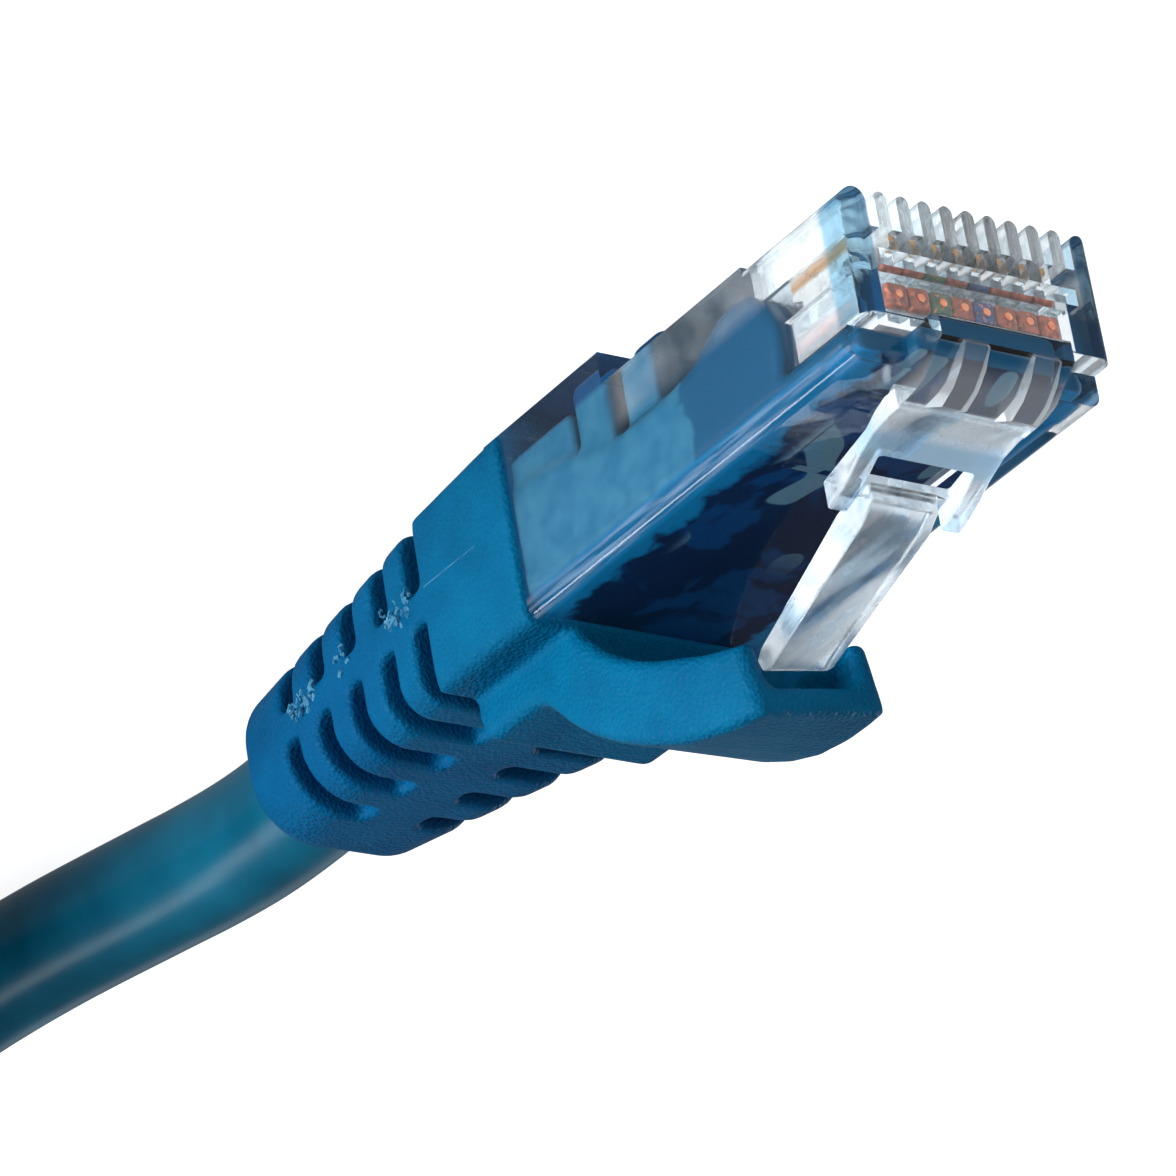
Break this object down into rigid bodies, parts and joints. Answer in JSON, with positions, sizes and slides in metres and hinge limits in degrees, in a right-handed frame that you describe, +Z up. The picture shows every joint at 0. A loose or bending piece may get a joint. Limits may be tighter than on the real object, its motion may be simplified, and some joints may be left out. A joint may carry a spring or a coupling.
{
  "type": "ethernet patch cable",
  "caption": "Round network patch lead with a clear latched modular plug, a ribbed overmoulded boot and a latch guard at each end, its length coiled and tied.",
  "frame": {"origin": "on the table, under the middle of the box round the near plug and its boot", "axes": "+X the way the near plug goes into its jack, +Z up on the latch side, +Y towards the far plug"},
  "size_m": [0.118, 0.0931, 0.0156],
  "materials": {
    "clear_plastic": "clear polycarbonate, polished",
    "clear_bar": "clear polycarbonate, polished",
    "boot_rubber": "soft, with a fine leather grain",
    "mould_plastic": "smooth",
    "jacket_pvc": "smooth, faintly glossy",
    "gold_contact": "gold plated, bright",
    "copper": "bare copper",
    "tie_strap": "woven hook and loop strap",
    "wire_orange": "insulation",
    "wire_white_orange": "insulation, striped",
    "wire_green": "insulation",
    "wire_white_green": "insulation, striped",
    "wire_blue": "insulation",
    "wire_white_blue": "insulation, striped",
    "wire_brown": "insulation",
    "wire_white_brown": "insulation, striped"
  },
  "bodies": {
    "cord_assembly": {"near_housing": "clear_plastic", "near_boot": "boot_rubber", "near_inner_mould": "mould_plastic", "near_load_bar": "clear_bar", "near_jacket": "jacket_pvc", "near_conductors": "copper", "near_contact_1": "gold_contact", "near_wire_1": "wire_white_orange", "near_contact_2": "gold_contact", "near_wire_2": "wire_orange", "near_contact_3": "gold_contact", "near_wire_3": "wire_white_green", "near_contact_4": "gold_contact", "near_wire_4": "wire_blue", "near_contact_5": "gold_contact", "near_wire_5": "wire_white_blue", "near_contact_6": "gold_contact", "near_wire_6": "wire_green", "near_contact_7": "gold_contact", "near_wire_7": "wire_white_brown", "near_contact_8": "gold_contact", "near_wire_8": "wire_brown", "far_housing": "clear_plastic", "far_boot": "boot_rubber", "far_inner_mould": "mould_plastic", "far_load_bar": "clear_bar", "far_jacket": "jacket_pvc", "far_conductors": "copper", "far_contact_1": "gold_contact", "far_wire_1": "wire_white_orange", "far_contact_2": "gold_contact", "far_wire_2": "wire_orange", "far_contact_3": "gold_contact", "far_wire_3": "wire_white_green", "far_contact_4": "gold_contact", "far_wire_4": "wire_blue", "far_contact_5": "gold_contact", "far_wire_5": "wire_white_blue", "far_contact_6": "gold_contact", "far_wire_6": "wire_green", "far_contact_7": "gold_contact", "far_wire_7": "wire_white_brown", "far_contact_8": "gold_contact", "far_wire_8": "wire_brown", "near_cable": "jacket_pvc", "coil": "jacket_pvc", "far_cable": "jacket_pvc", "tie": "tie_strap"},
    "near_latch_arm": {"near_latch": "clear_plastic"},
    "near_guard_arm": {"near_latch_guard": "boot_rubber"},
    "far_latch_arm": {"far_latch": "clear_plastic"},
    "far_guard_arm": {"far_latch_guard": "boot_rubber"}
  },
  "joints": [
    {"name": "near_guard_press", "type": "hinge", "parent": "cord_assembly", "child": "near_guard_arm", "pos_m": [-0.00215, 0, 0.0095], "axis": [0, 1, 0], "range_deg": [0, 20.5], "stiffness_Nm_per_rad": 0.006},
    {"name": "near_latch_press", "type": "hinge", "parent": "cord_assembly", "child": "near_latch_arm", "pos_m": [0.01925, 0, 0.00875], "axis": [0, -1, 0], "range_deg": [0, 14], "stiffness_Nm_per_rad": 0.004},
    {"name": "far_guard_press", "type": "hinge", "parent": "cord_assembly", "child": "far_guard_arm", "pos_m": [-0.00215, 0.08088, 0.0095], "axis": [0, 1, 0], "range_deg": [0, 20.5], "stiffness_Nm_per_rad": 0.006},
    {"name": "far_latch_press", "type": "hinge", "parent": "cord_assembly", "child": "far_latch_arm", "pos_m": [0.01925, 0.08088, 0.00875], "axis": [0, -1, 0], "range_deg": [0, 14], "stiffness_Nm_per_rad": 0.004}
  ],
  "couplings": [
    {"joint": "near_latch_press", "follows": "near_guard_press", "ratio": 0.68},
    {"joint": "far_latch_press", "follows": "far_guard_press", "ratio": 0.68}
  ]
}
